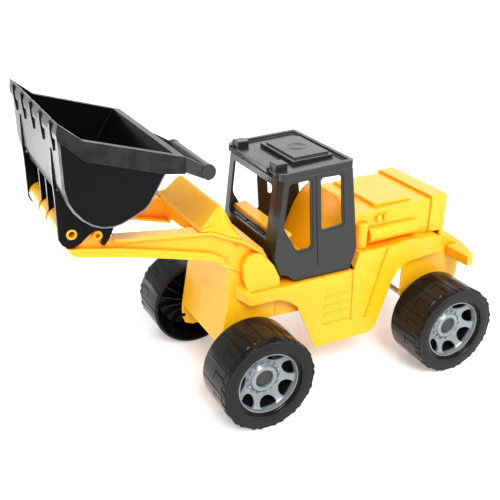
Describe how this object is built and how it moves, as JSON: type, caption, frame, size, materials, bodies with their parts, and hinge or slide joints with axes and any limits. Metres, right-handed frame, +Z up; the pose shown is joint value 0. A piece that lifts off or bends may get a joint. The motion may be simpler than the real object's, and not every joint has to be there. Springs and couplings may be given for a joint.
{
  "type": "toy front loader",
  "caption": "Plastic toy wheel loader: black scoop bucket with grab handle on hinged lift arms, open cab, yellow body and free-rolling wheels.",
  "frame": {"origin": "on the ground under the middle of the toy's bounding box", "axes": "+X forward to the bucket, +Y to the toy's left, +Z up"},
  "size_m": [0.553, 0.276, 0.3842],
  "materials": {
    "yellow_plastic": "glossy moulded, bright yellow",
    "black_plastic": "semi-gloss moulded, near black",
    "tyre_plastic": "hard blow-moulded plastic tyre, glossy black",
    "silver_plastic": "silver-grey moulded plastic",
    "axle_steel": "plain drawn steel rod"
  },
  "bodies": {
    "chassis": {"front_frame": "yellow_plastic", "main_body": "yellow_plastic", "rear_frame": "yellow_plastic", "rear_bumper": "yellow_plastic", "hood": "yellow_plastic", "rear_cap": "yellow_plastic", "side_tank_left": "yellow_plastic", "side_tank_right": "yellow_plastic", "canister_left": "yellow_plastic", "canister_right": "yellow_plastic", "dashboard": "yellow_plastic", "cab_shell": "black_plastic", "cab_roof": "black_plastic", "roof_hatch": "black_plastic", "lamp_left": "black_plastic", "lamp_right": "black_plastic", "front_axle": "axle_steel", "rear_axle": "axle_steel", "lift_shaft": "axle_steel"},
    "lift_arm": {"arm_left": "yellow_plastic", "arm_right": "yellow_plastic", "nose_beam": "yellow_plastic", "bucket_pin": "yellow_plastic", "hump_cover": "yellow_plastic"},
    "bucket": {"bucket_shell": "black_plastic", "bucket_handle": "black_plastic"},
    "wheel_front_left": {"wheel_front_left_tyre": "tyre_plastic", "wheel_front_left_rim": "silver_plastic", "wheel_front_left_hub_cap": "black_plastic"},
    "wheel_front_right": {"wheel_front_right_tyre": "tyre_plastic", "wheel_front_right_rim": "silver_plastic", "wheel_front_right_hub_cap": "black_plastic"},
    "wheel_rear_left": {"wheel_rear_left_tyre": "tyre_plastic", "wheel_rear_left_rim": "silver_plastic", "wheel_rear_left_hub_cap": "black_plastic"},
    "wheel_rear_right": {"wheel_rear_right_tyre": "tyre_plastic", "wheel_rear_right_rim": "silver_plastic", "wheel_rear_right_hub_cap": "black_plastic"}
  },
  "joints": [
    {"name": "lift_hinge", "type": "hinge", "parent": "chassis", "child": "lift_arm", "pos_m": [0.053, 0, 0.182], "axis": [0, 1, 0], "range_deg": [-12, 50]},
    {"name": "bucket_hinge", "type": "hinge", "parent": "lift_arm", "child": "bucket", "pos_m": [0.2619, 0, 0.2607], "axis": [0, 1, 0], "range_deg": [0, 100]},
    {"name": "wheel_front_left_spin", "type": "hinge", "parent": "chassis", "child": "wheel_front_left", "pos_m": [0.0655, 0.1075, 0.06], "axis": [0, 1, 0], "continuous": true},
    {"name": "wheel_front_right_spin", "type": "hinge", "parent": "chassis", "child": "wheel_front_right", "pos_m": [0.0655, -0.1075, 0.06], "axis": [0, 1, 0], "continuous": true},
    {"name": "wheel_rear_left_spin", "type": "hinge", "parent": "chassis", "child": "wheel_rear_left", "pos_m": [-0.2095, 0.1075, 0.06], "axis": [0, 1, 0], "continuous": true},
    {"name": "wheel_rear_right_spin", "type": "hinge", "parent": "chassis", "child": "wheel_rear_right", "pos_m": [-0.2095, -0.1075, 0.06], "axis": [0, 1, 0], "continuous": true}
  ]
}
